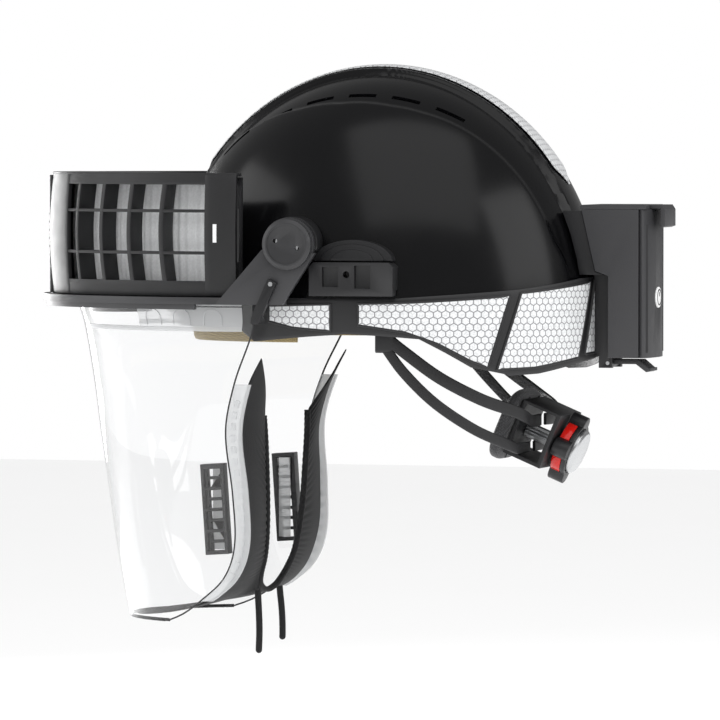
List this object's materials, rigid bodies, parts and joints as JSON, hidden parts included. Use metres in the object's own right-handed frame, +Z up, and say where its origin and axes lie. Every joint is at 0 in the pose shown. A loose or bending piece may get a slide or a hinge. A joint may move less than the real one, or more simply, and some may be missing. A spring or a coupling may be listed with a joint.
{
  "type": "powered air respirator",
  "caption": "Helmet-mounted powered air respirator: hard hat, flip-up blower unit with filters and clear face visor, fabric face seal, rear battery pack and ratchet head harness.",
  "frame": {"origin": "centre of the helmet's rim plane, where the wearer's head enters", "axes": "+X to the wearer's left, -Y forwards, +Z up"},
  "size_m": [0.25, 0.432, 0.3926],
  "materials": {
    "shell_black": "polished",
    "reflective": "retroreflective film with a hexagon pattern",
    "band_grey": "moulded, satin",
    "trim_black": "moulded, satin",
    "steel": "turned",
    "strap_plastic": "moulded, satin",
    "brow_foam": "soft knit over foam",
    "webbing": "woven",
    "contact_brass": "polished",
    "battery_grey": "fine texture",
    "cable_rubber": "smooth",
    "pad_grey": "soft knit over foam",
    "insert_red": "moulded",
    "cell_wrap": "shrink wrap",
    "board_green": "solder mask",
    "button_white": "moulded",
    "carrier_grey": "moulded, satin",
    "cover_grey": "fine texture",
    "filter_media": "pleated paper",
    "clear_lens": "clear, polished",
    "frosted_strip": "translucent",
    "seal_fabric": "coated weave",
    "hem_elastic": "elastic tape",
    "cord_black": "braided"
  },
  "bodies": {
    "helmet": {"helmet_shell": "shell_black", "crown_stripe": "reflective", "rim_band": "band_grey", "reflectors": "reflective", "accessory_bracket_left": "band_grey", "accessory_bracket_right": "band_grey", "side_badges": "shell_black", "pivot_mounts": "trim_black", "pivot_bolts": "steel", "headband": "strap_plastic", "brow_pad": "brow_foam", "crown_straps": "webbing", "crown_pad": "webbing", "strap_anchors": "band_grey", "nape_arm_left": "strap_plastic", "nape_arm_right": "strap_plastic", "battery_carrier": "trim_black", "battery_contacts": "contact_brass", "clip_pin": "steel", "power_cable": "cable_rubber"},
    "nape": {"nape_pad": "pad_grey", "ratchet_housing": "strap_plastic"},
    "knob": {"ratchet_knob": "trim_black", "knob_inserts": "insert_red", "knob_cap": "steel", "ratchet_pinion": "steel"},
    "battery": {"battery_case": "battery_grey", "battery_cover": "battery_grey", "battery_lid": "battery_grey", "battery_cells": "cell_wrap", "battery_board": "board_green", "charge_socket": "trim_black"},
    "release_lever": {"battery_release": "battery_grey"},
    "button": {"power_button": "button_white"},
    "clip": {"battery_clip": "battery_grey"},
    "front_unit": {"visor_carrier": "carrier_grey", "pivot_cap_left": "carrier_grey", "pivot_cap_right": "carrier_grey", "blower_housing": "cover_grey", "nose_cover": "cover_grey", "fan_motor": "steel", "blower_board": "board_green", "air_outlet": "cover_grey", "filter_left": "filter_media", "filter_right": "filter_media", "hinge_pins": "steel", "visor_lens": "clear_lens", "visor_frame": "frosted_strip", "exhale_vent_left": "trim_black", "exhale_vent_right": "trim_black", "exhale_flaps": "frosted_strip", "face_seal": "seal_fabric", "seal_hem": "hem_elastic", "cord_tail_left": "cord_black", "cord_tail_right": "cord_black"},
    "fan": {"impeller": "button_white"},
    "cover_left": {"filter_cover_left": "cover_grey"},
    "cover_right": {"filter_cover_right": "cover_grey"},
    "latch_left": {"visor_latch_left": "trim_black"},
    "latch_right": {"visor_latch_right": "trim_black"}
  },
  "joints": [
    {"name": "visor_flip", "type": "hinge", "parent": "helmet", "child": "front_unit", "pos_m": [0, -0.03, 0.0456], "axis": [-1, 0, 0], "range_deg": [0, 45]},
    {"name": "fan_spin", "type": "hinge", "parent": "front_unit", "child": "fan", "pos_m": [0, -0.186, 0.035], "axis": [0, 0, 1], "continuous": true},
    {"name": "cover_left_swing", "type": "hinge", "parent": "front_unit", "child": "cover_left", "pos_m": [0.033, -0.22274, 0.05], "axis": [0, 0, -1], "range_deg": [0, 45]},
    {"name": "cover_right_swing", "type": "hinge", "parent": "front_unit", "child": "cover_right", "pos_m": [-0.033, -0.22274, 0.05], "axis": [0, 0, 1], "range_deg": [0, 45]},
    {"name": "latch_left_swing", "type": "hinge", "parent": "front_unit", "child": "latch_left", "pos_m": [0.1224, -0.0405, 0.0198], "axis": [1, 0, 0], "range_deg": [0, 30]},
    {"name": "latch_right_swing", "type": "hinge", "parent": "front_unit", "child": "latch_right", "pos_m": [-0.1224, -0.0405, 0.0198], "axis": [1, 0, 0], "range_deg": [0, 30]},
    {"name": "battery_slide", "type": "slide", "parent": "helmet", "child": "battery", "axis": [0, 1, 0], "range_m": [0, 0.025]},
    {"name": "release_pull", "type": "hinge", "parent": "battery", "child": "release_lever", "pos_m": [0, 0.1784, 0.0697], "axis": [1, 0, 0], "range_deg": [0, 12], "stiffness_Nm_per_rad": 0.4, "springref_deg": -5.73},
    {"name": "button_press", "type": "slide", "parent": "battery", "child": "button", "axis": [0, -1, 0], "range_m": [0, 0.0015], "stiffness_N_per_m": 500, "springref_m": -0.001},
    {"name": "clip_press", "type": "hinge", "parent": "helmet", "child": "clip", "pos_m": [0, 0.157, -0.0334], "axis": [-1, 0, 0], "range_deg": [0, 8], "stiffness_Nm_per_rad": 0.6, "springref_deg": -5.73},
    {"name": "nape_size", "type": "slide", "parent": "helmet", "child": "nape", "axis": [0, -0.9205, 0.3907], "range_m": [-0.004, 0.01]},
    {"name": "knob_turn", "type": "hinge", "parent": "nape", "child": "knob", "pos_m": [0, 0.127, -0.09], "axis": [0, 0.9205, -0.3907], "range_deg": [-50, 120]}
  ],
  "couplings": [
    {"joint": "knob_turn", "follows": "nape_size", "rad_per_m": 200}
  ]
}
